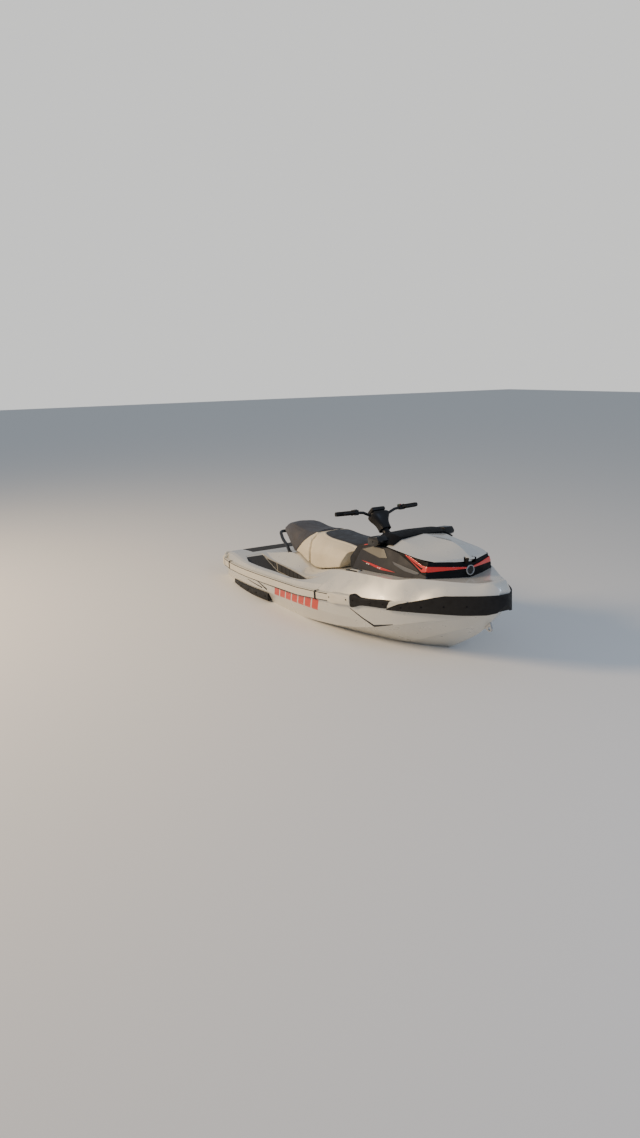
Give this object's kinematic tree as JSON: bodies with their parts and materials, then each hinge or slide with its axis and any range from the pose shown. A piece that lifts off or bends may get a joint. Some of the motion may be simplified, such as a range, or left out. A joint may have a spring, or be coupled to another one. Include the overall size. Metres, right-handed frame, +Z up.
{
  "type": "personal watercraft",
  "caption": "Three-seat personal watercraft with a V hull, jet pump, stepped seat, handlebar, opening nose hood and rubber bow bumper.",
  "frame": {"origin": "on the waterline amidships, on the centreline, half way between the bow bumper's tip and the stern caps' ends", "axes": "+X to the bow along the length, +Y to port, +Z up, square to the still water"},
  "size_m": [3.45, 1.2578, 1.0839],
  "materials": {
    "silver_gelcoat": "gloss",
    "pale_vinyl": "satin",
    "black_bumper": "matte",
    "black_plastic": "matte",
    "cast_aluminium": "satin",
    "bin_plastic": "matte",
    "grey_panel": "satin",
    "deck_mat": "matte",
    "mirror": "polished",
    "seat_vinyl": "satin",
    "steel": "satin",
    "grip_rubber": "matte",
    "stainless": "polished",
    "engine": "matte"
  },
  "bodies": {
    "hull": {"hull_shell": "silver_gelcoat", "aft_deck": "silver_gelcoat", "fore_deck": "silver_gelcoat", "seat_pedestal": "silver_gelcoat", "aft_strakes": "pale_vinyl", "strake_pods": "pale_vinyl", "strake_tips": "pale_vinyl", "stern_caps": "pale_vinyl", "fore_strakes": "black_bumper", "bow_bumper": "black_bumper", "strake_brackets": "black_bumper", "sponsons": "black_plastic", "console_core": "black_plastic", "nose_band": "black_plastic", "gauge_pod": "black_plastic", "steering_neck": "black_plastic", "ride_plate": "cast_aluminium", "storage_bin": "bin_plastic", "console_side_panels": "grey_panel", "footwell_mats": "deck_mat", "platform_mat": "deck_mat", "front_seat": "seat_vinyl", "rear_seat": "seat_vinyl", "grab_handle": "black_plastic", "pump_housing": "cast_aluminium", "intake_grate": "cast_aluminium", "bow_eye": "stainless", "stern_eyes": "stainless", "engine_block": "engine"},
    "steering": {"steering_column": "steel", "handlebar": "steel", "grips": "grip_rubber", "bar_pad": "black_plastic", "control_levers": "black_plastic"},
    "hood": {"hood": "silver_gelcoat", "visor": "black_plastic", "mirror_housings": "black_plastic", "mirror_glass": "mirror"},
    "glovebox_lid": {"glovebox_lid": "black_plastic"},
    "nozzle": {"steering_nozzle": "cast_aluminium"},
    "impeller": {"impeller": "stainless"},
    "bucket": {"reverse_bucket": "black_plastic"}
  },
  "joints": [
    {"name": "steering", "type": "hinge", "parent": "hull", "child": "steering", "pos_m": [0.4, 0, 0.678], "axis": [-0.6157, 0, 0.788], "range_deg": [-22, 22]},
    {"name": "nozzle_swivel", "type": "hinge", "parent": "hull", "child": "nozzle", "pos_m": [-1.53, 0, -0.02], "axis": [0, 0, 1], "range_deg": [-20, 20]},
    {"name": "bucket_swing", "type": "hinge", "parent": "hull", "child": "bucket", "pos_m": [-1.53, 0, -0.02], "axis": [0, -1, 0], "range_deg": [0, 68]},
    {"name": "impeller_spin", "type": "hinge", "parent": "hull", "child": "impeller", "pos_m": [-1.33, 0, -0.02], "axis": [1, 0, 0], "continuous": true},
    {"name": "hood_hinge", "type": "hinge", "parent": "hull", "child": "hood", "pos_m": [1.386, 0, 0.616], "axis": [0, 1, 0], "range_deg": [0, 50]},
    {"name": "glovebox_hinge", "type": "hinge", "parent": "hull", "child": "glovebox_lid", "pos_m": [0.34382, 0, 0.60137], "axis": [0, 1, 0], "range_deg": [0, 50]}
  ],
  "couplings": [
    {"joint": "nozzle_swivel", "follows": "steering", "ratio": 0.9}
  ]
}
